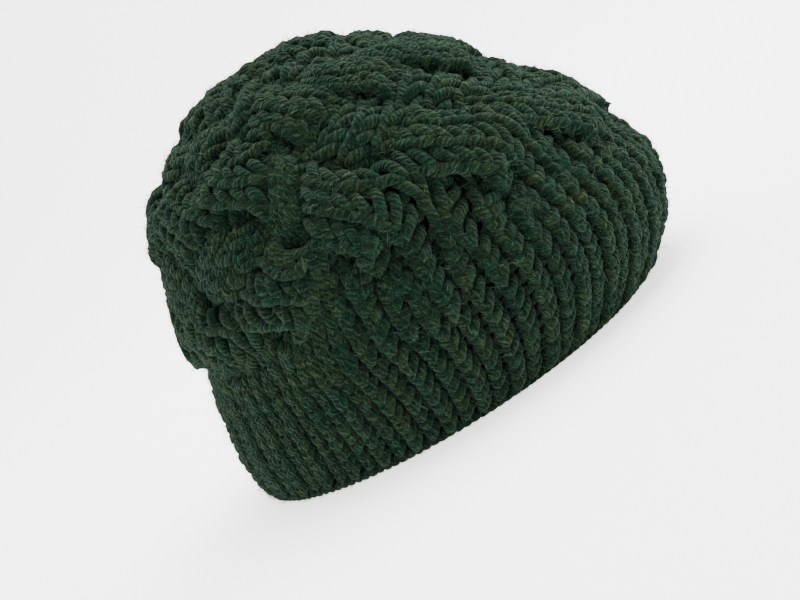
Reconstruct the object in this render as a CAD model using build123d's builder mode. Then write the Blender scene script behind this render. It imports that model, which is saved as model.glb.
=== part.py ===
from build123d import *
import os

os.makedirs("parts", exist_ok=True)

# Knit beanie standing upright on its brim.
# +Z is the hat's own axis, +X is the wearer's front, the brim lies in the plane z = 0.
# All sizes are in millimetres.

# Outline of the worn hat, front to back.
BRIM_LENGTH = 212.0
WIDEST_LENGTH = 246.0
WIDEST_HEIGHT = 50.0
HAT_HEIGHT = 186.0

# A head is narrower than it is long.
WIDTH_RATIO = 0.86

# The wall is one thick layer of chunky knit, cable relief included.
FABRIC_THICKNESS = 10.0

# Every height's section is an ellipse; these move its centre towards the back (-X).
BRIM_CENTRE_SHIFT = -14.0
CROWN_CENTRE_SHIFT = -19.0

# Shape of the two profile curves below and above the widest height.
BRIM_CURVE_POWER = 2.0
CROWN_CURVE_POWER = 1.85
CROWN_SHIFT_POWER = 1.5
SMALLEST_FRACTION = 0.02

# The sections of the hat, from the brim up.
CAST_ON_TOP = 6.0
RIB_TOP = 54.0
LOWER_CABLES_TOP = 95.0
BODY_TOP = 136.0
FIRST_DECREASES_TOP = 163.0

# The crown is drawn in to a small hole that the gathering yarn closes.
GATHER_LENGTH = 26.0
GATHER_SINK = 1.0
GATHER_EDGE_ROUND = 1.6
CAST_ON_EDGE_ROUND = 3.0

# The two ends of the yarn, woven in against the inside of the fabric.
YARN_THICKNESS = 3.0
YARN_END_WIDTH = 4.5
BRIM_END_LOW = 10.0
BRIM_END_HIGH = 50.0
CROWN_END_NEAR = 16.0
CROWN_END_FAR = 52.0

# Heights of the lofted sections, as fractions of the part below or above the widest height.
LOWER_FRACTIONS = [0.0, 0.35, 0.7]
UPPER_FRACTIONS = [0.0, 0.18, 0.36, 0.52, 0.66, 0.78, 0.87, 0.935, 0.99]

# A box far larger than the hat, for cutting.
BIG = 400.0


def profile_fraction(height, top):
    """Half length at a height, as a fraction of the half length at the widest height."""
    if height <= WIDEST_HEIGHT:
        below = (WIDEST_HEIGHT - height) / WIDEST_HEIGHT
        return 1.0 - (1.0 - BRIM_LENGTH / WIDEST_LENGTH) * below ** BRIM_CURVE_POWER
    above = (height - WIDEST_HEIGHT) / (top - WIDEST_HEIGHT)
    return max(1.0 - above ** CROWN_CURVE_POWER, SMALLEST_FRACTION) ** (1.0 / CROWN_CURVE_POWER)


def centre_x(height):
    """How far the section's centre lies in front of the origin at a height."""
    if height <= WIDEST_HEIGHT:
        below = (WIDEST_HEIGHT - height) / WIDEST_HEIGHT
        return BRIM_CENTRE_SHIFT * below ** BRIM_CURVE_POWER
    above = min((height - WIDEST_HEIGHT) / (HAT_HEIGHT - WIDEST_HEIGHT), 1.0)
    return CROWN_CENTRE_SHIFT * above ** CROWN_SHIFT_POWER


def section_heights(top):
    """Heights of the lofted sections for a dome that would close at the height top."""
    lower = [WIDEST_HEIGHT * fraction for fraction in LOWER_FRACTIONS]
    upper = [WIDEST_HEIGHT + (top - WIDEST_HEIGHT) * fraction for fraction in UPPER_FRACTIONS]
    return lower + upper


def dome(inset, mode=Mode.ADD):
    """The hat's outline moved in by inset, as one solid from the brim plane up."""
    top = HAT_HEIGHT - inset
    smallest = (GATHER_LENGTH - inset) / 2
    sections = []
    for height in section_heights(top):
        fraction = profile_fraction(height, top)
        half_length = max(WIDEST_LENGTH / 2 * fraction - inset, smallest)
        half_width = max(WIDEST_LENGTH * WIDTH_RATIO / 2 * fraction - inset, smallest * WIDTH_RATIO)
        with BuildSketch(Plane.XY.offset(height)) as section:
            with Locations((centre_x(height), 0)):
                Ellipse(half_length, half_width)
        sections.append(section.sketch)
    loft(sections=sections, mode=mode)


def keep_between(low, high):
    """Keep only what lies between two heights."""
    with Locations((0, 0, (low + high) / 2)):
        Box(BIG, BIG, high - low, mode=Mode.INTERSECT)


def shell_between(low, high):
    """The hat's wall between two heights."""
    dome(0.0)
    dome(FABRIC_THICKNESS, mode=Mode.SUBTRACT)
    keep_between(low, high)


# Cast-on edge: the first row, the rim that the whole hat stands on.
with BuildPart() as cast_on_edge:
    shell_between(0.0, CAST_ON_TOP)
    rim_edges = cast_on_edge.faces().sort_by(Axis.Z)[0].edges()
    fillet(rim_edges, CAST_ON_EDGE_ROUND)
cast_on_edge.part.label = "cast_on_edge"

# Ribbed band: the stretchy part that grips the head.
with BuildPart() as ribbed_band:
    shell_between(CAST_ON_TOP, RIB_TOP)
ribbed_band.part.label = "ribbed_band"

# Lower cable rounds: the first crossings of the basket weave, the widest part of the hat.
with BuildPart() as cabled_body_lower:
    shell_between(RIB_TOP, LOWER_CABLES_TOP)
cabled_body_lower.part.label = "cabled_body_lower"

# Upper cable rounds: the basket weave goes on up to the crown at full stitch count.
with BuildPart() as cabled_body_upper:
    shell_between(LOWER_CABLES_TOP, BODY_TOP)
cabled_body_upper.part.label = "cabled_body_upper"

# Lower crown: the first decreases, which narrow the cables.
with BuildPart() as crown_lower:
    shell_between(BODY_TOP, FIRST_DECREASES_TOP)
crown_lower.part.label = "crown_lower"

# Upper crown: the last decreases, drawn in to the gathered hole at the top.
with BuildPart() as crown_upper:
    shell_between(FIRST_DECREASES_TOP, HAT_HEIGHT)
    with BuildSketch(Plane.XY.offset(FIRST_DECREASES_TOP)):
        with Locations((CROWN_CENTRE_SHIFT, 0)):
            Ellipse(GATHER_LENGTH / 2, GATHER_LENGTH / 2 * WIDTH_RATIO)
    extrude(amount=HAT_HEIGHT, mode=Mode.SUBTRACT)
crown_upper.part.label = "crown_upper"

# Crown closing yarn: the last stitches pulled tight into a small button-like knot.
GATHER_BOTTOM = HAT_HEIGHT - FABRIC_THICKNESS + GATHER_SINK
with BuildPart() as crown_closing_yarn:
    with BuildSketch(Plane.XY.offset(GATHER_BOTTOM)):
        with Locations((CROWN_CENTRE_SHIFT, 0)):
            Ellipse(GATHER_LENGTH / 2, GATHER_LENGTH / 2 * WIDTH_RATIO)
    extrude(amount=HAT_HEIGHT - GATHER_BOTTOM)
    gather_edges = crown_closing_yarn.faces().sort_by(Axis.Z)[-1].edges()
    fillet(gather_edges, GATHER_EDGE_ROUND)
crown_closing_yarn.part.label = "crown_closing_yarn"

# Brim yarn end: the cast-on tail, woven in up the inside of the ribbing.
with BuildPart() as brim_yarn_end:
    dome(FABRIC_THICKNESS)
    dome(FABRIC_THICKNESS + YARN_THICKNESS, mode=Mode.SUBTRACT)
    with Locations((0, BIG / 2, (BRIM_END_LOW + BRIM_END_HIGH) / 2)):
        Box(YARN_END_WIDTH, BIG, BRIM_END_HIGH - BRIM_END_LOW, mode=Mode.INTERSECT)
brim_yarn_end.part.label = "brim_yarn_end"

# Crown yarn end: the finishing tail, woven in under the crown from the gathered hole forwards.
with BuildPart() as crown_yarn_end:
    dome(FABRIC_THICKNESS)
    dome(FABRIC_THICKNESS + YARN_THICKNESS, mode=Mode.SUBTRACT)
    tail_middle_x = CROWN_CENTRE_SHIFT + (CROWN_END_NEAR + CROWN_END_FAR) / 2
    with Locations((tail_middle_x, 0, BODY_TOP + BIG / 2)):
        Box(CROWN_END_FAR - CROWN_END_NEAR, YARN_END_WIDTH, BIG, mode=Mode.INTERSECT)
crown_yarn_end.part.label = "crown_yarn_end"

export_step(cast_on_edge.part, "parts/cast_on_edge.step")
export_step(ribbed_band.part, "parts/ribbed_band.step")
export_step(cabled_body_lower.part, "parts/cabled_body_lower.step")
export_step(cabled_body_upper.part, "parts/cabled_body_upper.step")
export_step(crown_lower.part, "parts/crown_lower.step")
export_step(crown_upper.part, "parts/crown_upper.step")
export_step(crown_closing_yarn.part, "parts/crown_closing_yarn.step")
export_step(brim_yarn_end.part, "parts/brim_yarn_end.step")
export_step(crown_yarn_end.part, "parts/crown_yarn_end.step")
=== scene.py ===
import bpy
import math
import numpy as np
from mathutils import Matrix, Vector


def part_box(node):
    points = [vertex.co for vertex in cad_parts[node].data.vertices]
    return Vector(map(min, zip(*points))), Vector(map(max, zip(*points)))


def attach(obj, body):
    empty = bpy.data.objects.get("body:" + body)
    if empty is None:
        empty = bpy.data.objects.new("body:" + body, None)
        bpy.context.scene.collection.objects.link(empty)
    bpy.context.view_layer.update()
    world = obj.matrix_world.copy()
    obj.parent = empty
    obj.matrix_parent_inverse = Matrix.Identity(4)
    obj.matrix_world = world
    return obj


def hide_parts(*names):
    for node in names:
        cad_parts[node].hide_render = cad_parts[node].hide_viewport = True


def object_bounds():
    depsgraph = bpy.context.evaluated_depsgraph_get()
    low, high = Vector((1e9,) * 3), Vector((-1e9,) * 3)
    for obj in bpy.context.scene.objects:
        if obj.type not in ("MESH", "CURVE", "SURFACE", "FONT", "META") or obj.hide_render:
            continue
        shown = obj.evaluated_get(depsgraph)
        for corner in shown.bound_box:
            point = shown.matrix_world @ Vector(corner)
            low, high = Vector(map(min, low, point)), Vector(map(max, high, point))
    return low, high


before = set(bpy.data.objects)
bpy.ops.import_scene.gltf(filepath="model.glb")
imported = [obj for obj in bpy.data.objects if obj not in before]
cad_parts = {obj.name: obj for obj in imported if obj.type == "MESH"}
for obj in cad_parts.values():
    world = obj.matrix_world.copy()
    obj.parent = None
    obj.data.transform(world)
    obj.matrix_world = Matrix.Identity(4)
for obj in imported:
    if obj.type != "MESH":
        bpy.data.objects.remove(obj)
CAD_LOW, CAD_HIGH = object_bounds()

MM = 0.001
SEED = 11
rng = np.random.default_rng(SEED)


def in_mm(box):
    """The two corners of a box, in mm."""
    return [np.array(corner) / MM for corner in box]


# ---------------------------------------------------------------- sizes, in millimetres

# u is a place round the hat, in turns from the front (+X) by the wearer's left (+Y).
# s is the arc height: the way up the middle of the fabric from the brim.

LOW, HIGH = in_mm((CAD_LOW, CAD_HIGH))
RIB_BOX = in_mm(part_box("ribbed_band"))
GATHER_BOX = in_mm(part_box("crown_closing_yarn"))

WIDEST_LENGTH = HIGH[0] - LOW[0]
WIDEST_WIDTH = HIGH[1] - LOW[1]
HAT_HEIGHT = HIGH[2]
RIB_TOP = RIB_BOX[1][2]
GATHER_RADIUS = (GATHER_BOX[1][0] - GATHER_BOX[0][0]) / 2

# The CAD model's outline, front to back.
WIDEST_HEIGHT = 50.0
BRIM_FRACTION = 212.0 / 246.0          # the brim's length against the widest length
BRIM_POWER = 2
BRIM_SHIFT = -14.0                     # how far a section's centre lies in front of the origin
CROWN_SHIFT = (GATHER_BOX[0][0] + GATHER_BOX[1][0]) / 2
CROWN_SHIFT_POWER = 1.5
CROWN_POWER = 1.85
OVAL_RATIO = 0.86                      # width against length

INSET_RIB = 6.0                        # the middle of the fabric lies this far inside the CAD outline
INSET_BODY = 9.2
INSET_CHANGE = (45, 100)               # arc heights between which the one becomes the other

# How the head fills the hat, from the brim up the middle of its front and of its back.
SWELL_AT = [0, 25, 55, 75, 100, 130, 160, 190, 230]
BROW_SWELL = [6.0, 9.5, 7.0, 2.0, -3.0, -6.5, -6.0, -1.0, 0.0]
NAPE_SWELL = [2.0, 2.5, -4.0, -8.0, -4.0, 0.0, 3.5, 2.0, 0.0]
BROW_SPREAD = 0.13                     # turns to either side
NAPE_SPREAD = 0.12

YARN = 5.1                             # yarn diameter
PLIES = 4
PLY_STEP = 1.9                         # from one ply to the next, along the yarn
RIB_STITCHES = 72
BANDS = 24


def smoothstep(x, a, b):
    t = np.clip((x - a) / (b - a), 0.0, 1.0)
    return t * t * (3 - 2 * t)


def unit(v):
    return v / np.maximum(np.linalg.norm(v, axis=-1, keepdims=True), 1e-9)


# ---------------------------------------------------------------- the hat's middle surface

LOWER_SAMPLES = 60
UPPER_SAMPLES = 500
PROFILE_SAMPLES = 900
OVAL_SAMPLES = 1441
NORMAL_STEP_U = 0.002                  # steps over which a slope is measured
NORMAL_STEP_S = 0.8


def build_profile():
    """Arc height up the meridian, with the height and the radius fraction there."""
    top = HAT_HEIGHT - INSET_BODY
    z_low = np.linspace(0, WIDEST_HEIGHT, LOWER_SAMPLES)[:-1]
    below = (WIDEST_HEIGHT - z_low) / WIDEST_HEIGHT
    r_low = 1 - (1 - BRIM_FRACTION) * below ** BRIM_POWER
    phi = np.linspace(0, math.pi / 2, UPPER_SAMPLES)
    r_up = np.cos(phi) ** (2 / CROWN_POWER)
    z_up = WIDEST_HEIGHT + (top - WIDEST_HEIGHT) * np.sin(phi) ** (2 / CROWN_POWER)
    z = np.concatenate([z_low, z_up])
    r = np.concatenate([r_low, r_up])
    mean_radius = (WIDEST_LENGTH + WIDEST_WIDTH) / 4 - INSET_BODY
    step = np.hypot(np.diff(z), np.diff(r) * mean_radius)
    s = np.concatenate([[0], np.cumsum(step)])
    even = np.linspace(0, s[-1], PROFILE_SAMPLES)
    return even, np.interp(even, s, z), np.interp(even, s, r)


def build_oval():
    """Fraction of the way round an oval of this hat's proportions, the angle there, and its perimeter."""
    t = np.linspace(0, 2 * math.pi, OVAL_SAMPLES)
    ratio = WIDEST_WIDTH / WIDEST_LENGTH
    x, y = np.cos(t), ratio * np.sin(t)
    length = np.concatenate([[0], np.cumsum(np.hypot(np.diff(x), np.diff(y)))])
    return length / length[-1], t, length[-1]


PROFILE_S, PROFILE_Z, PROFILE_R = build_profile()
S_MAX = PROFILE_S[-1]
OVAL_U, OVAL_ANGLE, OVAL_PERIMETER = build_oval()


def inset_at(s):
    return INSET_RIB + (INSET_BODY - INSET_RIB) * smoothstep(s, *INSET_CHANGE)


def head_swell(u, s):
    """How far the worn hat stands out beyond its even oval: full over the brow, drawn in at the nape."""
    from_front = np.mod(u + 0.5, 1.0) - 0.5
    from_back = np.mod(u, 1.0) - 0.5
    front = np.exp(-(from_front / BROW_SPREAD) ** 2) * np.interp(s, SWELL_AT, BROW_SWELL)
    back = np.exp(-(from_back / NAPE_SPREAD) ** 2) * np.interp(s, SWELL_AT, NAPE_SWELL)
    return front + back


def surface(u, s):
    """Points of the fabric's middle layer."""
    s = np.clip(s, 0, S_MAX)
    z = np.interp(s, PROFILE_S, PROFILE_Z)
    r = np.interp(s, PROFILE_S, PROFILE_R)
    angle = np.interp(np.mod(u, 1.0), OVAL_U, OVAL_ANGLE)
    inset = inset_at(s)
    a = WIDEST_LENGTH / 2 - inset
    b = WIDEST_WIDTH / 2 - inset
    above = np.clip((z - WIDEST_HEIGHT) / (HAT_HEIGHT - WIDEST_HEIGHT), 0, 1)
    below = np.clip((WIDEST_HEIGHT - z) / WIDEST_HEIGHT, 0, 1)
    centre = CROWN_SHIFT * above ** CROWN_SHIFT_POWER + BRIM_SHIFT * below ** BRIM_POWER
    swell = head_swell(u, s)
    return np.stack([centre + (a * r + swell) * np.cos(angle), (b * r + swell) * np.sin(angle), z], -1)


def place(u, s, depth):
    """Points at a depth (+ outwards) from the middle layer, and the outward normal there."""
    s_high = np.clip(s + NORMAL_STEP_S, 0, S_MAX)
    s_low = np.clip(s - NORMAL_STEP_S, 0, S_MAX)
    along = surface(u + NORMAL_STEP_U, s) - surface(u - NORMAL_STEP_U, s)
    up = surface(u, s_high) - surface(u, s_low)
    normal = unit(np.cross(along, up))
    return surface(u, s) + normal * depth[..., None], normal


def girth(s):
    """Length round the hat at an arc height."""
    r = np.interp(s, PROFILE_S, PROFILE_R)
    a = WIDEST_LENGTH / 2 - inset_at(s)
    return a * OVAL_PERIMETER * r


# ---------------------------------------------------------------- a gentle, uneven warp

# The worn hat is not quite even: ribs lean a little and some crossings sit higher.
# Angles are degrees from the wearer's right side, + towards the front.
# A bump is its height, the angle of its middle and its spread.

RIGHT_TO_FRONT = 0.25                  # turns
LIFT = 24                              # the crossings on the right side sit this much higher
LIFT_RISES = (-32, -2)
LIFT_FALLS = (34, 66)
LIFT_BASE = -2
LIFT_WAVES = [(2.0, 3, 0.2), (1.5, 5, 0.7)]       # height, waves round the hat, start in turns
LIFT_BEGINS = (46, 98)                 # arc heights
LIFT_ENDS = (160, 235)
RIB_LEANS = [(0.30, -15, 22), (0.13, 10, 12)]     # bumps, in mm sideways for every mm up
LEAN_HEIGHT = 55
LEAN_ENDS = (56, 105)
BAND_SHIFTS = [(3.5, -30, 9), (-5, -2, 10)]       # bumps, in degrees sideways
SHIFT_BEGINS = (62, 88)
SHIFT_ENDS = (130, 165)
SMALLEST_GIRTH = 40                    # keeps the lean small near the crown


def bumps(angle, table):
    return sum(height * np.exp(-((angle - middle) / spread) ** 2) for height, middle, spread in table)


def warp(u, s):
    """Where a point of the even hat lies on the worn one."""
    side = np.mod(u + RIGHT_TO_FRONT, 1.0)
    side = np.where(side > 0.5, side - 1.0, side)
    angle = side * 360
    lift = LIFT * smoothstep(angle, *LIFT_RISES) * (1 - smoothstep(angle, *LIFT_FALLS)) + LIFT_BASE
    for height, waves, start in LIFT_WAVES:
        lift = lift + height * np.sin(2 * math.pi * (u * waves + start))
    gain = smoothstep(s, *LIFT_BEGINS) * (1 - smoothstep(s, *LIFT_ENDS))
    skew = -bumps(angle, RIB_LEANS) * np.minimum(s, LEAN_HEIGHT) * (1 - smoothstep(s, *LEAN_ENDS))
    shift = bumps(angle, BAND_SHIFTS) / 360
    shift = shift * smoothstep(s, *SHIFT_BEGINS) * (1 - smoothstep(s, *SHIFT_ENDS))
    return u + skew / np.maximum(girth(s), SMALLEST_GIRTH) + shift, s + lift * gain


# ---------------------------------------------------------------- yarn tubes

TUBE_SIDES = 10
TUBE_FLATNESS = 0.94                   # a yarn is pressed a little flat against the fabric
THICKNESS_STEP = 5                     # points from one change of thickness to the next
THICKNESS_CHANGE = 0.055
OVAL_LOBE = 0.035                      # the section is a little oval, and the oval winds round the yarn
PLY_LOBE = 0.03
END_TAPER = np.array([0.03, 0.55, 0.86])
FLOOR_GAP = 0.1                        # nothing reaches below this height

# Painted shade and light: the yarn is coloured darker in the hollows of the knitting, where shadow lies, and
# lighter where it stands high and faces out, where light falls.
SHADE_LOW = 0.40
SHADE_HIGH = 1.24
SHADE_HEIGHTS = (-2.6, 6.0)

FUZZ = []                              # where fibres leave the yarns: point, outward, along the yarn, painted shade
FUZZ_SHARE = 1.30                      # loose fibres for every point along the yarns
FUZZ_SPREAD = 0.75                     # radians round the yarn from its outermost line
FUZZ_ROOT = 0.8                        # where a fibre starts, in yarn radii from the yarn's middle


class Bag:
    """Gathers yarns into one mesh."""

    def __init__(self):
        self.verts = []
        self.faces = []
        self.uv = []
        self.tint = []
        self.shade = []
        self.count = 0

    def add(self, co, faces, uv, tint, shade):
        co[:, 2] = np.maximum(co[:, 2], FLOOR_GAP)
        self.verts.append(co)
        self.faces.append(faces + self.count)
        self.uv.append(uv)
        self.tint.append(tint)
        self.shade.append(shade)
        self.count += len(co)


def tube_faces(count, rows):
    """Quads between the rings of a tube, from one ring to the next and from the last to the first."""
    ring = (np.arange(rows) * TUBE_SIDES)[:, None]
    after = ((np.arange(rows) + 1) % count * TUBE_SIDES)[:, None]
    side = np.arange(TUBE_SIDES)[None, :]
    turned = (side + 1) % TUBE_SIDES
    return np.stack([ring + side, ring + turned, after + turned, after + side], -1).reshape(-1, 4)


def tube_uv(length, rows):
    """The way along the yarn in mm and the way round it in turns, for every corner of every quad."""
    shape = (rows, TUBE_SIDES)
    turns = np.arange(TUBE_SIDES + 1) / TUBE_SIDES
    start = np.broadcast_to(length[:rows, None], shape)
    end = np.broadcast_to(length[1:rows + 1, None], shape)
    left = np.broadcast_to(turns[:-1], shape)
    right = np.broadcast_to(turns[1:], shape)
    return np.stack([start, left, start, right, end, right, end, left], -1).reshape(-1, 4, 2)


def tube(bag, path, ref, radius, level=0.0, closed=False, fuzz=0.0):
    """One yarn along path (N x 3, mm). ref is the outward direction and level the depth at each point, which
    sets the painted shade.
    """
    count = len(path)
    if closed:
        after = np.roll(path, -1, 0)
        tangent = unit(after - np.roll(path, 1, 0))
        step = np.linalg.norm(after - path, axis=1)
    else:
        tangent = unit(np.gradient(path, axis=0))
        step = np.linalg.norm(np.diff(path, axis=0), axis=1)
    length = np.concatenate([[0], np.cumsum(step)])
    out = unit(ref - (ref * tangent).sum(1, keepdims=True) * tangent)
    side = np.cross(tangent, out)

    radius = np.broadcast_to(np.asarray(radius, float), (count,)).copy()
    change = rng.normal(size=count // THICKNESS_STEP + 3)
    change_at = np.interp(np.arange(count) / THICKNESS_STEP, np.arange(len(change)), change)
    radius *= 1 + THICKNESS_CHANGE * change_at
    if not closed:
        radius[:len(END_TAPER)] *= END_TAPER
        radius[-len(END_TAPER):] *= END_TAPER[::-1]

    # the seam lies on the side turned away from the outside
    angle = (math.pi + np.linspace(0, 2 * math.pi, TUBE_SIDES, endpoint=False))[None, :]
    ply = 2 * math.pi * length[:count, None] / (PLIES * PLY_STEP)
    lobe = 1 + OVAL_LOBE * np.cos(2 * angle + ply * 2) + PLY_LOBE * np.cos(PLIES * (angle + ply))
    lobed = radius[:, None] * lobe
    co = (path[:, None, :]
          + (np.cos(angle) * lobed * TUBE_FLATNESS)[..., None] * out[:, None, :]
          + (np.sin(angle) * lobed)[..., None] * side[:, None, :]).reshape(-1, 3)

    faces = tube_faces(count, len(step))
    uv = tube_uv(length, len(step))
    if not closed:
        cap = np.array([[0, k + 2, k + 1, k] for k in range(1, TUBE_SIDES - 2, 2)])
        faces = np.concatenate([faces, cap, cap[:, ::-1] + (count - 1) * TUBE_SIDES])
        uv = np.concatenate([uv, np.zeros((2 * len(cap), 4, 2))])

    tint = np.full(len(co), rng.random())
    # painted shade and light: darker where the yarn lies deep or faces in, lighter where it stands high and
    # faces out
    height = np.broadcast_to(np.asarray(level, float), (count,))[:, None] + np.cos(angle) * radius[:, None]
    shade = SHADE_LOW + (SHADE_HIGH - SHADE_LOW) * smoothstep(height, *SHADE_HEIGHTS)
    bag.add(co, faces, uv, tint, shade.ravel())

    if fuzz:
        wanted = max(1, int(count * fuzz))
        at = rng.integers(2, count - 2, wanted)
        turn = rng.normal(0, FUZZ_SPREAD, wanted)
        normal = np.cos(turn)[:, None] * out[at] + np.sin(turn)[:, None] * side[at]
        root = path[at] + normal * radius[at, None] * FUZZ_ROOT
        FUZZ.append(np.concatenate([root, normal, tangent[at], shade[at].max(axis=1, keepdims=True)], 1))


def make_object(name, bag, material, nodes=()):
    """One piece of the visual model, which rides on the hat and replaces CAD nodes."""
    co = np.concatenate(bag.verts) * MM
    faces = np.concatenate(bag.faces)
    uv = np.concatenate(bag.uv).reshape(-1, 2)
    me = bpy.data.meshes.new(name)
    me.vertices.add(len(co))
    me.vertices.foreach_set("co", co.astype(np.float32).ravel())
    me.loops.add(faces.size)
    me.loops.foreach_set("vertex_index", faces.astype(np.int32).ravel())
    me.polygons.add(len(faces))
    me.polygons.foreach_set("loop_start", np.arange(0, faces.size, 4, dtype=np.int32))
    me.polygons.foreach_set("loop_total", np.full(len(faces), 4, dtype=np.int32))
    me.polygons.foreach_set("use_smooth", np.full(len(faces), True))
    layer = me.uv_layers.new(name="yarn")
    layer.data.foreach_set("uv", uv.astype(np.float32).ravel())
    for attribute, values in (("tint", bag.tint), ("shade", bag.shade)):
        layer = me.attributes.new(attribute, "FLOAT", "POINT")
        layer.data.foreach_set("value", np.concatenate(values).astype(np.float32))
    me.update(calc_edges=True)
    me.validate()
    me.materials.append(material)
    ob = bpy.data.objects.new(name, me)
    bpy.context.scene.collection.objects.link(ob)
    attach(ob, "root")
    if nodes:
        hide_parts(*nodes)


# ---------------------------------------------------------------- materials

# Colour ramps: a position and a colour for each stop.
HEATHER = [
    (0.40, (0.0007, 0.0034, 0.0016)),
    (0.46, (0.0019, 0.0070, 0.0034)),
    (0.51, (0.0046, 0.0134, 0.0063)),
    (0.56, (0.0095, 0.0212, 0.0104)),
    (0.62, (0.0240, 0.0385, 0.0222)),
]
HUES = [(0.38, (0.55, 0.96, 1.02)), (0.50, (0.96, 1.0, 0.94)), (0.62, (1.24, 1.03, 0.82))]
# Painted shade in the furrows between the plies, and painted light on their crowns
PLY_FURROW_SHADE = [(0.05, (0.52, 0.54, 0.52)), (0.80, (1.08, 1.08, 1.08))]
FIBRE_SHADES = [
    (0.0, (0.007, 0.024, 0.013)),
    (0.4, (0.013, 0.038, 0.022)),
    (0.8, (0.030, 0.060, 0.038)),
    (1.0, (0.066, 0.100, 0.066)),
]
SHEEN_TINT = (0.45, 0.75, 0.60, 1)
FLECK_SHARE = 0.50                     # the heather is mixed from flecks along the plies and fine specks
SPECK_SHARE = 0.50
PLY_BUMP = 1.25                        # the plies stand out more than the fibres and specks in them
BUMP_DISTANCE = 0.0007                 # metres


class Shader:
    """A node tree with one Principled shader, and short ways to add nodes to it."""

    def __init__(self, name):
        self.material = bpy.data.materials.new(name)
        self.material.use_nodes = True
        self.tree = self.material.node_tree
        self.tree.nodes.clear()
        output = self.tree.nodes.new("ShaderNodeOutputMaterial")
        self.bsdf = self.tree.nodes.new("ShaderNodeBsdfPrincipled")
        self.link(self.bsdf.outputs[0], output.inputs[0])

    def link(self, source, socket):
        self.tree.links.new(source, socket)

    def put(self, value, socket):
        if isinstance(value, (int, float)):
            socket.default_value = value
        else:
            self.link(value, socket)

    def math(self, operation, a, b=None):
        node = self.tree.nodes.new("ShaderNodeMath")
        node.operation = operation
        self.put(a, node.inputs[0])
        if b is not None:
            self.put(b, node.inputs[1])
        return node.outputs[0]

    def vector(self, x, y, z):
        node = self.tree.nodes.new("ShaderNodeCombineXYZ")
        for value, socket in zip((x, y, z), node.inputs):
            self.put(value, socket)
        return node.outputs[0]

    def noise(self, vector, scale, detail, roughness=0.5):
        node = self.tree.nodes.new("ShaderNodeTexNoise")
        node.inputs["Scale"].default_value = scale
        node.inputs["Detail"].default_value = detail
        node.inputs["Roughness"].default_value = roughness
        self.link(vector, node.inputs["Vector"])
        return node.outputs["Fac"]

    def ramp(self, value, stops):
        node = self.tree.nodes.new("ShaderNodeValToRGB")
        elements = node.color_ramp.elements
        while len(elements) < len(stops):
            elements.new(0.5)
        for element, (position, colour) in zip(elements, stops):
            element.position = position
            element.color = (*colour, 1)
        self.link(value, node.inputs[0])
        return node.outputs[0]

    def multiply(self, a, b):
        node = self.tree.nodes.new("ShaderNodeMix")
        node.data_type = "RGBA"
        node.blend_type = "MULTIPLY"
        node.inputs[0].default_value = 1.0
        self.link(a, node.inputs[6])
        self.link(b, node.inputs[7])
        return node.outputs[2]

    def attribute(self, name):
        node = self.tree.nodes.new("ShaderNodeAttribute")
        node.attribute_name = name
        return node.outputs["Fac"]


def yarn_material():
    """Plied heather yarn: flecks drawn out along the plies, slow changes of hue and a fine fibre bump, with
    painted shade between the plies and in the knitting's hollows and painted light on its tops.
    """
    sh = Shader("heather_yarn")
    sh.bsdf.inputs["Roughness"].default_value = 0.9
    sh.bsdf.inputs["Specular IOR Level"].default_value = 0.05
    sh.bsdf.inputs["Sheen Weight"].default_value = 0.08
    sh.bsdf.inputs["Sheen Roughness"].default_value = 0.5
    sh.bsdf.inputs["Sheen Tint"].default_value = SHEEN_TINT

    uv = sh.tree.nodes.new("ShaderNodeUVMap")
    uv.uv_map = "yarn"
    parts = sh.tree.nodes.new("ShaderNodeSeparateXYZ")
    sh.link(uv.outputs[0], parts.inputs[0])
    length, around = parts.outputs[0], parts.outputs[1]
    tint = sh.attribute("tint")
    on_hat = sh.tree.nodes.new("ShaderNodeTexCoord").outputs["Object"]

    # the plies wind round the yarn, not quite evenly
    drift = sh.noise(on_hat, scale=260, detail=2)
    even_phase = sh.math("ADD", sh.math("MULTIPLY", around, PLIES), sh.math("DIVIDE", length, PLY_STEP))
    phase = sh.math("ADD", even_phase, drift)
    ply = sh.math("ABSOLUTE", sh.math("SINE", sh.math("MULTIPLY", phase, math.pi)))

    def along_plies(across, along, other):
        """A texture space that follows the plies and is another one for each yarn."""
        return sh.vector(sh.math("MULTIPLY", phase, across), sh.math("MULTIPLY", length, along),
                         sh.math("MULTIPLY", tint, other))

    fleck = sh.noise(along_plies(across=1.2, along=0.28, other=37.0), scale=1.0, detail=4, roughness=0.65)
    speck = sh.noise(on_hat, scale=1250, detail=3, roughness=0.7)
    mixed = sh.math("ADD", sh.math("MULTIPLY", fleck, FLECK_SHARE), sh.math("MULTIPLY", speck, SPECK_SHARE))
    hue = sh.ramp(sh.noise(on_hat, scale=75, detail=4, roughness=0.6), HUES)
    heather = sh.multiply(sh.ramp(mixed, HEATHER), hue)
    # painted shade between the plies, then the painted shade and light of the knitting's hollows and tops
    coloured = sh.multiply(heather, sh.ramp(ply, PLY_FURROW_SHADE))
    sh.link(sh.multiply(coloured, sh.attribute("shade")), sh.bsdf.inputs["Base Color"])

    # the plies and the fibres in them stand out a little
    fibre = sh.noise(along_plies(across=5.0, along=0.7, other=17.0), scale=1.0, detail=3, roughness=0.6)
    height = sh.math("ADD", sh.math("MULTIPLY", ply, PLY_BUMP), sh.math("ADD", fibre, speck))
    bump = sh.tree.nodes.new("ShaderNodeBump")
    bump.inputs["Strength"].default_value = 0.75
    bump.inputs["Distance"].default_value = BUMP_DISTANCE
    sh.link(height, bump.inputs["Height"])
    sh.link(bump.outputs[0], sh.bsdf.inputs["Normal"])
    return sh.material


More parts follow.
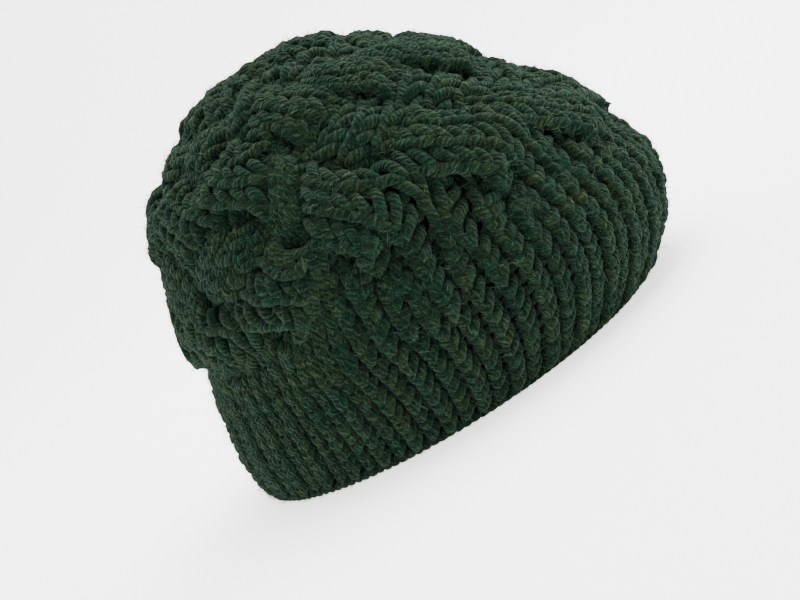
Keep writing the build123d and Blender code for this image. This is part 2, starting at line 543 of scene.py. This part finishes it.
def fibre_material():
    """Loose fibres: the same heather shades, a little lighter, each fibre of one colour, with the painted
    shade of the yarn it starts on.
    """
    sh = Shader("loose_fibres")
    sh.bsdf.inputs["Roughness"].default_value = 0.8
    sh.bsdf.inputs["Specular IOR Level"].default_value = 0.1
    coloured = sh.ramp(sh.attribute("tint"), FIBRE_SHADES)
    # painted shade from the yarn each fibre starts on
    sh.link(sh.multiply(coloured, sh.attribute("shade")), sh.bsdf.inputs["Base Color"])
    return sh.material


YARN_MAT = yarn_material()
FIBRE_MAT = fibre_material()

# ---------------------------------------------------------------- one stitch

STITCH_STEPS = 18
TAU = np.linspace(-0.5, 0.5, STITCH_STEPS, endpoint=False)
BULGE = 0.25                           # how far the loop swells sideways, in stitch widths
BULGE_JITTER = 0.10
LOOP_HEIGHT = 0.93                     # half height of a loop, in rows
HEIGHT_JITTER = 0.05
LEAN = 0.20                            # the twist of the yarn leans every loop to one side
PINCH = 0.055                          # how far the two legs of a stitch are drawn together
RIB_PINCH = 0.165                      # in the rib more so, which leaves a furrow between ridges
FURROW_SHADE_GAIN = 1.55                     # how much more painted shade the rib's furrows get than other hollows


def loop_shape(jit, pinch):
    """Sideways (stitch widths), up (rows) and depth (loop depths) along one stitch."""
    swell = BULGE * (1 + BULGE_JITTER * jit[0])
    high = LOOP_HEIGHT * (1 + HEIGHT_JITTER * jit[1])
    y = high * np.cos(2 * math.pi * TAU)
    x = TAU + swell * np.sin(4 * math.pi * TAU) - pinch * np.sin(2 * math.pi * TAU) + LEAN * y
    z = -np.cos(4 * math.pi * TAU)
    return x, y, z


# ---------------------------------------------------------------- cast-on edge and ribbing

CAST_ON_STEPS = 12                     # points for every stitch
CAST_ON_HEIGHT = 3.2
CAST_ON_RISE = 1.7                     # how far the two strands wind up and down, and in and out
CAST_ON_DEPTH = 1.9
CAST_ON_YARN = 0.72                    # yarn thickness against YARN

RIB_ROWS = 9
RIB_FOOT = 5.5                         # arc height where the first row begins
RIB_LENGTH = RIB_TOP - 4.0             # what its rows take up; the bands' own rows go on from there
RIB_LOWEST = 1.0                       # no loop hangs below this arc height
RIB_YARN = 0.86                        # the rib is knitted more tightly, which draws its yarn thinner
RIB_FUZZ = 0.6                         # and wearing flattens its fibres
RIB_RELIEF = 3.0                       # half the depth between the front legs and the back of its loops
RIB_OFFSETS = (0.3, -0.1)              # every second ridge stands out more, in units of RIB_RELIEF
RIB_JITTER = 0.25
RIB_SHADE_DROP = 0.4                   # and the rib as a whole gets a little more painted shade


def make_cast_on():
    bag = Bag()
    steps = RIB_STITCHES * CAST_ON_STEPS
    u = np.arange(steps) / steps
    for strand in range(2):
        angle = 2 * math.pi * RIB_STITCHES * u + strand * math.pi
        depth = CAST_ON_DEPTH * np.cos(angle)
        co, normal = place(*warp(u, CAST_ON_HEIGHT + CAST_ON_RISE * np.sin(angle)), depth)
        tube(bag, co, normal, YARN / 2 * CAST_ON_YARN, depth, closed=True, fuzz=FUZZ_SHARE)
    make_object("cast_on_edge_yarn", bag, YARN_MAT, ["cast_on_edge"])


def make_ribbing():
    """Rows of loops that each run once round the hat."""
    lower, upper = Bag(), Bag()
    for row in range(RIB_ROWS):
        u, s, depth = [], [], []
        for stitch in range(RIB_STITCHES):
            jit = rng.normal(size=4)               # the third of these is spare
            x, y, z = loop_shape(jit, RIB_PINCH)
            u.append((stitch + 0.5 + x) * (1.0 / RIB_STITCHES))
            s.append(RIB_FOOT + (row + 0.5 + y) * RIB_LENGTH / RIB_ROWS)
            depth.append(RIB_RELIEF * (z + RIB_OFFSETS[stitch % 2]) + RIB_JITTER * jit[3])
        sharp = np.concatenate(depth)
        depth = 0.25 * np.roll(sharp, 1) + 0.5 * sharp + 0.25 * np.roll(sharp, -1)
        co, normal = place(*warp(np.concatenate(u), np.maximum(np.concatenate(s), RIB_LOWEST)), depth)
        # painted shade: deeper furrows, and the rib as a whole, are coloured darker
        tube(lower if row < RIB_ROWS / 2 else upper, co, normal, YARN / 2 * RIB_YARN,
             depth * FURROW_SHADE_GAIN - RIB_SHADE_DROP, closed=True, fuzz=FUZZ_SHARE * RIB_FUZZ)
    make_object("ribbing_lower", lower, YARN_MAT, ["ribbed_band"])
    make_object("ribbing_upper", upper, YARN_MAT, ["ribbed_band"])


# ---------------------------------------------------------------- the course of the bands

FIRST_CROSSING = 92.5                  # arc height of the first crossings
CROSSING_STEP = 29.0                   # from one crossing to the next
PHASE_U = 0.75 - 1.0 / BANDS           # sets a crossing at the middle of the wearer's right side
CABLE_LIFT = 5.4
OVER_BIAS = 0.38                       # the first family stays on top for longer than the second
UNDER_SLANT = 0.60                     # a band runs steeply where it dives and flatter on top
SLANT_POWER = 3
SLANT_MEAN = 2.5                       # mean of (1 + cosine) to that power
RIBBON_FILL = 1.04                     # neighbouring bands overlap a little

BAND_START = RIB_TOP - 3.0
BAND_TOP = S_MAX - GATHER_RADIUS * 0.78          # a little under the gathered yarn
FINE_BELOW, FINE_ABOVE = 12, 4         # the arrays reach past the band's ends
FINE_SAMPLES = 700
FINE = np.linspace(BAND_START - FINE_BELOW, BAND_TOP + FINE_ABOVE, FINE_SAMPLES)
WEAVE_BEGINS = (-1.0, -0.3)            # in crossings from the first
FLATTENING = 0.45                      # how much of the relief is lost towards the crown
FLATTENS = (175, 230)                  # arc heights
ROW_HEIGHT = 6.2
ROW_HEIGHT_WOVEN = 0.8                 # added where the bands are woven
ROW_HEIGHT_CROWN = 1.0                 # taken off in the crown
CROWN_TIGHTENS = (185, 235)

PHASES = np.linspace(-4, 9, 5201)
TRAVEL_STARTS = np.linspace(-1.9, -0.05, 371)
START_SOFTNESS = 0.18

SMOOTHER_SAMPLES = 61
SMOOTHER = np.hanning(SMOOTHER_SAMPLES)
SMOOTHER /= SMOOTHER.sum()


def travel_table(sign):
    """Sideways travel, in half cells from the first crossing, of the family over (1) or under (-1) there.

    It begins where it will have covered half a cell by the first crossing.
    """
    crest = (1 + sign * np.cos(math.pi * PHASES)) ** SLANT_POWER
    slant = UNDER_SLANT + (1 - UNDER_SLANT) / SLANT_MEAN * crest
    step = PHASES[1] - PHASES[0]
    best_error = math.inf
    for start in TRAVEL_STARTS:
        begun = smoothstep(PHASES, start - START_SOFTNESS, start + START_SOFTNESS)
        total = np.cumsum(slant * begun) * step
        covered = np.interp(0, PHASES, total)
        if abs(covered - 0.5) < best_error:
            best_error = abs(covered - 0.5)
            table = total - covered
    return table


TRAVEL = {"a": travel_table(1), "b": travel_table(-1)}


def smoothed(values):
    return np.convolve(np.pad(values, SMOOTHER_SAMPLES // 2, mode="edge"), SMOOTHER, mode="valid")


class Course:
    """One band's way up the hat: arrays against the arc heights FINE."""

    def __init__(self, band):
        self.family = "a" if band % 2 == 1 else "b"
        self.cell = band // 2
        way = -1.0 if self.family == "a" else 1.0          # u runs towards the wearer's left seen from above
        phase = (FINE - FIRST_CROSSING) / CROSSING_STEP
        travel = np.interp(phase, PHASES, TRAVEL[self.family])
        self.u = (2 * self.cell + 1) / BANDS + way * travel / BANDS + PHASE_U

        woven = smoothstep(phase, *WEAVE_BEGINS)
        fade = 1 - FLATTENING * smoothstep(FINE, *FLATTENS)
        over = np.clip((np.cos(math.pi * phase) + OVER_BIAS) * -way, -1, 1)
        self.over = over * woven * fade
        self.depth = CABLE_LIFT * over * woven * fade

        around = girth(FINE)
        sideways = np.gradient(self.u, FINE) * around
        plain = around / BANDS
        crossed = around / (BANDS / 2) * np.cos(np.arctan2(sideways, 1.0))
        self.width = smoothed(plain + (RIBBON_FILL * crossed - plain) * woven)
        self.lean = smoothed(np.arctan2(way * np.abs(sideways), 1.0))

        co, _ = place(*warp(self.u, FINE), np.zeros_like(FINE))
        step = np.linalg.norm(np.diff(co, axis=0), axis=1)
        tight = smoothstep(FINE, *CROWN_TIGHTENS)
        row_height = ROW_HEIGHT + ROW_HEIGHT_WOVEN * woven - ROW_HEIGHT_CROWN * tight
        self.row = np.concatenate([[0], np.cumsum(step / row_height[1:])])
        self.row -= np.interp(BAND_START, FINE, self.row)
        self.rows = int(np.interp(BAND_TOP, FINE, self.row))

    def at(self, row, values):
        return np.interp(row, self.row, values)


# ---------------------------------------------------------------- the bands' stitches

THREE_COLUMNS_END = 172                # arc heights where the bands are narrowed
TWO_COLUMNS_END = 210
LOOP_DEPTH = 2.55                      # half the depth between the front legs and the back of the loops
PLAIN_ENDS = (62, 84)                  # the rib's ridges go on up to here
ACROSS_JITTER = 0.012                  # in band widths, in rows and in mm
UP_JITTER = 0.05
DEPTH_JITTER = 0.35
LAST_COLUMN_DIP = 0.5                  # a column that ends slips behind its neighbour

WIDEST_COLUMN = 14.0                   # stitches don't spread further than this
PILLOW = 1.6                           # a band is higher in its middle
PILLOW_OVER = 1.2                      # and more so where it lies over another
PILLOW_SINK = 0.6                      # its edges lie this much lower
PILLOW_EDGE = 0.6                      # how far out across a band the pillow goes on, in band widths
DIVE_LIMIT = -0.3                      # a dive flattens the pillow no more than this
YARN_FILL = 9.0                        # width of a column that needs the full yarn
YARN_LIMITS = (0.62, 1.08)
SHADE_BY_DEPTH = 0.75                  # how much a band's own depth counts for its shade
LOWEST_STITCH = 2
TOP_GAP = 4                            # how far the stitches stop short of the crown's very middle
TOP_GAP_GIRTH = 6                      # and where the girth is last read, as it vanishes there
CROWN_FROM = 150
CELLS_IN_PIECE = 6                     # of the cells round the hat, each with two bands
ZONE_NODES = {
    "body": ["cabled_body_lower", "cabled_body_upper"],
    "crown": ["crown_lower", "crown_upper"],
}


def columns_at(s):
    """How many stitch columns a band has at arc height s."""
    return 3 if s < THREE_COLUMNS_END else 2 if s < TWO_COLUMNS_END else 1


def stitch_row(k, columns, columns_after, plainness):
    """One row of a band: place across it in band widths, rows up it, and depth, along the yarn."""
    across, up, depth = [], [], []
    for j in range(columns):
        jit = rng.normal(size=5)
        x, y, z = loop_shape(jit, PINCH + (RIB_PINCH - PINCH) * plainness)
        rise = smoothstep(y, 0.0, 1.0)
        here = j - (columns - 1) / 2 + x
        after = min(j, columns_after - 1) - (columns_after - 1) / 2 + x
        place_across = here / columns * (1 - rise) + after / columns_after * rise
        if columns_after < columns and j == columns - 1:
            z = z - LAST_COLUMN_DIP * rise
        across.append(place_across + ACROSS_JITTER * jit[2] / columns)
        up.append(k + 0.5 + y + UP_JITTER * jit[3])
        depth.append(z * LOOP_DEPTH + DEPTH_JITTER * jit[4])
    return np.concatenate(across), np.concatenate(up), np.concatenate(depth)


def add_row(bags, course, k):
    """Knits row k of a band, into the bag of the piece that it belongs to."""
    middle_s = float(course.at(k + 0.5, FINE))
    columns = columns_at(middle_s)
    columns_after = columns_at(float(course.at(k + 1.5, FINE)))
    plainness = 1 - smoothstep(middle_s, *PLAIN_ENDS)
    across, row, loop = stitch_row(k, columns, columns_after, plainness)

    pillow = 1 - (2 * np.clip(np.abs(across), 0, PILLOW_EDGE)) ** 2
    over = np.clip(course.at(row, course.over), DIVE_LIMIT, 1)
    depth = course.at(row, course.depth) + pillow * (PILLOW + PILLOW_OVER * over) - PILLOW_SINK

    width = course.at(row, course.width)
    lean = course.at(row, course.lean)
    offset = across * np.minimum(width, WIDEST_COLUMN * columns)
    band_s = course.at(row, FINE)
    s = band_s - offset * np.sin(lean)
    u = course.at(row, course.u) + offset * np.cos(lean) / girth(np.clip(s, 0, S_MAX - TOP_GAP_GIRTH))
    co, normal = place(*warp(u, np.clip(s, LOWEST_STITCH, S_MAX - TOP_GAP)), depth + loop)

    zone = "crown" if band_s[len(band_s) // 2] > CROWN_FROM else "body"
    bag = bags.setdefault((zone, course.family, course.cell // CELLS_IN_PIECE), Bag())
    radius = YARN / 2 * np.clip(width / columns / YARN_FILL, *YARN_LIMITS)
    # painted shade and light: hollows and bands that dive under are darker, tops lighter
    level = loop * (1 + (FURROW_SHADE_GAIN - 1) * plainness) + SHADE_BY_DEPTH * depth
    tube(bag, co, normal, radius, level, fuzz=FUZZ_SHARE)


def make_bands():
    """The bands of the basket weave, from the plain rows above the rib to the crown."""
    bags = {}
    for band in range(BANDS):
        course = Course(band)
        for k in range(course.rows):
            add_row(bags, course, k)
    for (zone, family, half), bag in sorted(bags.items()):
        make_object(f"{zone}_cables_{family}{half + 1}", bag, YARN_MAT, ZONE_NODES[zone])


# ---------------------------------------------------------------- inner face

FACE_ROUND, FACE_UP = 360, 130         # points round the hat and up it
FACE_FOOT = 4.0
FACE_TOP_GAP = 3.0
FACE_ROW = 7.6                         # row height on the inside
FACE_DEPTH = -2.4
FACE_SINK = 0.4                        # above the rib the face lies this much deeper
FACE_SINKS = (62, 92)
FACE_THICKNESS = 1.6
FACE_RIDGE = 1.0                       # purl ridges, one for every row
FACE_BUMP_OUT, FACE_BUMP_IN = 0.3, 0.5
FACE_TINT = 0.3
# Painted shade on the outer sheet, seen in the gaps between the bands, and painted light on the inner sheet,
# inside the hat
FACE_SHADE_OUT, FACE_SHADE_IN = 0.5, 1.2


def make_inner_face():
    """The purl side seen from inside, as one closed shell behind the stitches."""
    u = np.arange(FACE_ROUND) / FACE_ROUND
    s = np.linspace(FACE_FOOT, S_MAX - FACE_TOP_GAP, FACE_UP)
    u, s = np.meshgrid(u, s, indexing="ij")
    row = s / FACE_ROW
    bump = np.cos(2 * math.pi * (u * RIB_STITCHES)) * np.cos(2 * math.pi * row)
    ridge = FACE_RIDGE * (0.5 + 0.5 * np.cos(2 * math.pi * row))
    depth_out = FACE_DEPTH - FACE_SINK * smoothstep(s, *FACE_SINKS) + FACE_BUMP_OUT * bump
    depth_in = depth_out - FACE_THICKNESS - ridge - FACE_BUMP_IN * bump
    warped = warp(u.ravel(), s.ravel())
    co = np.concatenate([place(*warped, depth.ravel())[0] for depth in (depth_out, depth_in)])

    total = FACE_ROUND * FACE_UP
    low = np.arange(FACE_ROUND) * FACE_UP
    low_next = np.roll(low, -1)
    high, high_next = low + FACE_UP - 1, low_next + FACE_UP - 1
    up = np.arange(FACE_UP - 1)[None, :]
    a, b = low[:, None] + up, low_next[:, None] + up
    outer = np.stack([a, b, b + 1, a + 1], -1).reshape(-1, 4)
    inner = np.stack([a, a + 1, b + 1, b], -1).reshape(-1, 4) + total
    rim = np.stack([low, low + total, low_next + total, low_next], -1)
    top = np.stack([high, high_next, high_next + total, high + total], -1)
    faces = np.concatenate([outer, inner, rim, top])

    along = np.tile((u * girth(s)).ravel(), 2)
    around = np.tile((row * 0.5).ravel(), 2)
    bag = Bag()
    bag.add(co, faces, np.stack([along[faces], around[faces]], -1), np.full(len(co), FACE_TINT),
            np.repeat([FACE_SHADE_OUT, FACE_SHADE_IN], total))
    make_object("inner_face", bag, YARN_MAT)


# ---------------------------------------------------------------- gathered top and yarn ends

GATHER_STEPS = 260
GATHER_TURNS = 3.3
GATHER_OUTSIDE = 0.72                  # radii of the spiral, in gather radii
GATHER_SHRINK = 0.68
GATHER_DROP = 6.5                      # below the hat's top
GATHER_RISE = 2.4
GATHER_WAVE = 0.8
GATHER_WAVES = 2.3                     # for every turn
GATHER_YARN = 0.9                      # yarn thickness against YARN

END_STEPS = 60
END_YARN = 0.8
END_WIGGLE = 1.6
END_WIGGLES = 5                        # half waves
BRIM_END_U = 0.25
BRIM_END_DEPTH = -8.2
CROWN_END_DEPTH = -8.6
CROWN_END_REACH = (16, 56)             # from the crown's middle
CROWN_END_GIRTH = 240                  # about the length round the hat there


def make_gather():
    """The last stitches, drawn up into a flat spiral."""
    t = np.linspace(0, 1, GATHER_STEPS)
    r = GATHER_RADIUS * (GATHER_OUTSIDE - GATHER_SHRINK * t)
    angle = 2 * math.pi * GATHER_TURNS * t
    x = CROWN_SHIFT + r * np.cos(angle)
    y = r * OVAL_RATIO * np.sin(angle)
    z = HAT_HEIGHT - GATHER_DROP + GATHER_RISE * t + GATHER_WAVE * np.sin(angle * GATHER_WAVES)
    up = np.tile([0, 0, 1.0], (GATHER_STEPS, 1))
    bag = Bag()
    tube(bag, np.stack([x, y, z], -1), up, YARN / 2 * GATHER_YARN)
    make_object("crown_closing_yarn_knot", bag, YARN_MAT, ["crown_closing_yarn"])


def make_yarn_end(name, node, u, s, depth):
    bag = Bag()
    tube(bag, *place(u, s, np.full(END_STEPS, depth)), YARN / 2 * END_YARN)
    make_object(name, bag, YARN_MAT, [node])


def make_yarn_ends():
    """The two tails, woven in against the inside of the fabric."""
    wiggle = END_WIGGLE * np.sin(np.linspace(0, END_WIGGLES * math.pi, END_STEPS))
    low, high = in_mm(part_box("brim_yarn_end"))
    s = np.linspace(low[2], high[2], END_STEPS)
    make_yarn_end("brim_yarn_end_woven", "brim_yarn_end", BRIM_END_U + wiggle / girth(s), s, BRIM_END_DEPTH)
    near, far = CROWN_END_REACH
    s = np.linspace(S_MAX - near, S_MAX - far, END_STEPS)
    make_yarn_end("crown_yarn_end_woven", "crown_yarn_end", wiggle / CROWN_END_GIRTH, s, CROWN_END_DEPTH)


# ---------------------------------------------------------------- loose fibres

FIBRE_RADIUS = 0.10
FIBRE_TAPER = np.array([0.03, 1.0, 0.9, 0.03])
FIBRE_LENGTH = (2.0, 6.0)
FIBRE_POINTS = len(FIBRE_TAPER)
FIBRE_SIDES = 3
FIBRE_START = -0.15                    # in fibre lengths, so that it is rooted in the yarn
FIBRE_ACROSS = 0.8                     # how much of its heading is across the yarn
FIBRE_OUT = (0.15, 0.35)               # and outwards: always, and at random
FIBRE_BEND = 0.9
FIBRE_BEND_IN = 0.12
FIBRE_CURVE = 0.6
FIBRE_NUDGE = 0.01                     # keeps the sideways direction of an upright fibre defined
FIBRE_TINT_POWER = 1.3                 # pale fibres are rarer
FIBRE_ZONES = [
    ("rib_fibres_lower", -50, 30),
    ("rib_fibres_upper", 30, RIB_TOP),
    ("body_fibres_lower", RIB_TOP, 80),
    ("body_fibres_middle", 80, 107),
    ("body_fibres_upper", 107, 133),
    ("crown_fibres_lower", 133, 157),
    ("crown_fibres_upper", 157, 500),
]


def fibre_bag(anchors):
    """Thin curved fibres, pinched shut at both ends, that start on the yarns."""
    count = len(anchors)
    start, normal, along = anchors[:, :3], anchors[:, 3:6], anchors[:, 6:9]
    side = np.cross(along, normal)
    mix = rng.normal(size=(count, 3))
    outwards = FIBRE_OUT[0] + FIBRE_OUT[1] * np.abs(mix[:, 2:])
    heading = unit(along * mix[:, :1] + side * mix[:, 1:2] * FIBRE_ACROSS + normal * outwards)
    bend = unit(rng.normal(size=(count, 3))) * FIBRE_BEND - normal * FIBRE_BEND_IN
    size = rng.uniform(*FIBRE_LENGTH, count)[:, None, None]
    q = np.linspace(FIBRE_START, 1, FIBRE_POINTS)[None, :, None]
    path = start[:, None] + size * (heading[:, None] * q + bend[:, None] * q * q * FIBRE_CURVE)
    tangent = unit(np.gradient(path, axis=1))
    across = unit(np.cross(tangent, normal[:, None] + FIBRE_NUDGE))
    other = np.cross(tangent, across)
    radius = FIBRE_RADIUS * FIBRE_TAPER
    angle = 2 * math.pi * np.arange(FIBRE_SIDES) / FIBRE_SIDES
    ring = across[:, :, None] * np.cos(angle)[:, None] + other[:, :, None] * np.sin(angle)[:, None]
    co = path[:, :, None] + ring * radius[None, :, None, None]

    points = FIBRE_POINTS * FIBRE_SIDES
    fibre = np.arange(count)[:, None, None] * points
    row = np.arange(FIBRE_POINTS - 1)[None, :, None] * FIBRE_SIDES
    j = np.arange(FIBRE_SIDES)[None, None, :]
    a, b = fibre + row + j, fibre + row + (j + 1) % FIBRE_SIDES
    faces = np.stack([a, b, b + FIBRE_SIDES, a + FIBRE_SIDES], -1).reshape(-1, 4)
    tint = np.repeat(rng.random(count) ** FIBRE_TINT_POWER, points)
    bag = Bag()
    bag.add(co.reshape(-1, 3), faces, np.zeros((len(faces), 4, 2)), tint, np.repeat(anchors[:, 9], points))
    return bag


def make_fibres():
    """The fibre halo of the fluffy yarn, in pieces from the brim up."""
    anchors = np.concatenate(FUZZ)
    height = anchors[:, 2]
    for name, low, high in FIBRE_ZONES:
        make_object(name, fibre_bag(anchors[(height >= low) & (height < high)]), FIBRE_MAT)


make_cast_on()
make_ribbing()
make_bands()
make_fibres()
make_inner_face()
make_gather()
make_yarn_ends()

# ---------------------------------------------------------------- floor, light and camera, in metres

PAPER_COLOUR = (0.86, 0.855, 0.845, 1)
PAPER_GLOW = (1.0, 0.995, 0.985, 1)
PAPER_GLOW_STRENGTH = 1.9
STAGE_SIZE = 12.0
STAGE_BACK = 1.6                       # how far behind the hat the wall stands
STAGE_RADIUS = 0.9                     # of the curve between the floor and the wall
STAGE_STEPS = 24

WORLD_STRENGTH = 0.42
LIGHT_TARGET = (0, 0, 0.1)

CAM_AZIMUTH = 0.0                      # degrees
CAM_ELEVATION = 11.1
CAM_ROLL = 32.2
CAM_DISTANCE = 0.80
CAM_LENS = 73.1                        # mm
CAM_SENSOR = 36.0
CAM_TARGET = (-0.0149, 0.0, 0.0475)


def stage_material():
    mat = bpy.data.materials.new("studio_paper")
    mat.use_nodes = True
    bsdf = mat.node_tree.nodes["Principled BSDF"]
    bsdf.inputs["Base Color"].default_value = PAPER_COLOUR
    bsdf.inputs["Emission Color"].default_value = PAPER_GLOW
    bsdf.inputs["Emission Strength"].default_value = PAPER_GLOW_STRENGTH
    bsdf.inputs["Roughness"].default_value = 0.9
    return mat


def make_stage():
    """A pale floor that curves up into a pale wall behind the hat."""
    bend_start = STAGE_BACK - STAGE_RADIUS
    outline = [(-STAGE_SIZE, 0.0), (bend_start, 0.0)]
    for k in range(1, STAGE_STEPS + 1):
        a = k / STAGE_STEPS * math.pi / 2
        outline.append((bend_start + STAGE_RADIUS * math.sin(a), STAGE_RADIUS - STAGE_RADIUS * math.cos(a)))
    outline.append((STAGE_BACK, STAGE_SIZE))
    verts = [(x, y, z) for y, z in outline for x in (-STAGE_SIZE, STAGE_SIZE)]
    faces = [(2 * k, 2 * k + 1, 2 * k + 3, 2 * k + 2) for k in range(len(outline) - 1)]
    me = bpy.data.meshes.new("studio_sweep")
    me.from_pydata(verts, [], faces)
    me.polygons.foreach_set("use_smooth", [True] * len(faces))
    me.materials.append(stage_material())
    ob = bpy.data.objects.new("studio_sweep", me)
    bpy.context.scene.collection.objects.link(ob)


def area_light(name, location, size, power, color):
    data = bpy.data.lights.new(name, "AREA")
    data.shape = "SQUARE"
    data.size = size
    data.energy = power
    data.color = color
    ob = bpy.data.objects.new(name, data)
    ob.location = location
    ob.rotation_euler = (Vector(LIGHT_TARGET) - Vector(location)).to_track_quat("-Z", "Y").to_euler()
    bpy.context.scene.collection.objects.link(ob)


def make_lights():
    world = bpy.data.worlds.new("studio")
    bpy.context.scene.world = world
    world.use_nodes = True
    background = world.node_tree.nodes["Background"]
    background.inputs["Color"].default_value = (1.0, 1.0, 1.0, 1)
    background.inputs["Strength"].default_value = WORLD_STRENGTH
    area_light("key", location=(-0.5, -0.9, 1.5), size=0.9, power=9, color=(1.0, 0.99, 0.97))
    area_light("top", location=(0.5, 0.3, 1.6), size=1.2, power=92, color=(0.98, 0.99, 1.0))


def make_camera():
    """Looks at the wearer's right side, rolled as the hat is tipped in the photograph."""
    data = bpy.data.cameras.new("camera")
    data.lens = CAM_LENS
    data.sensor_width = CAM_SENSOR
    ob = bpy.data.objects.new("camera", data)
    bpy.context.scene.collection.objects.link(ob)
    el = math.radians(CAM_ELEVATION)
    az = math.radians(CAM_AZIMUTH)
    direction = Vector((-math.sin(az) * math.cos(el), -math.cos(az) * math.cos(el), math.sin(el)))
    target = Vector(CAM_TARGET)
    ob.location = target + direction * CAM_DISTANCE
    look = (target - ob.location).to_track_quat("-Z", "Y").to_matrix().to_4x4()
    roll = Matrix.Rotation(math.radians(-CAM_ROLL), 4, "Z")
    ob.matrix_world = Matrix.Translation(ob.location) @ look @ roll
    bpy.context.scene.camera = ob


make_stage()
make_lights()
make_camera()
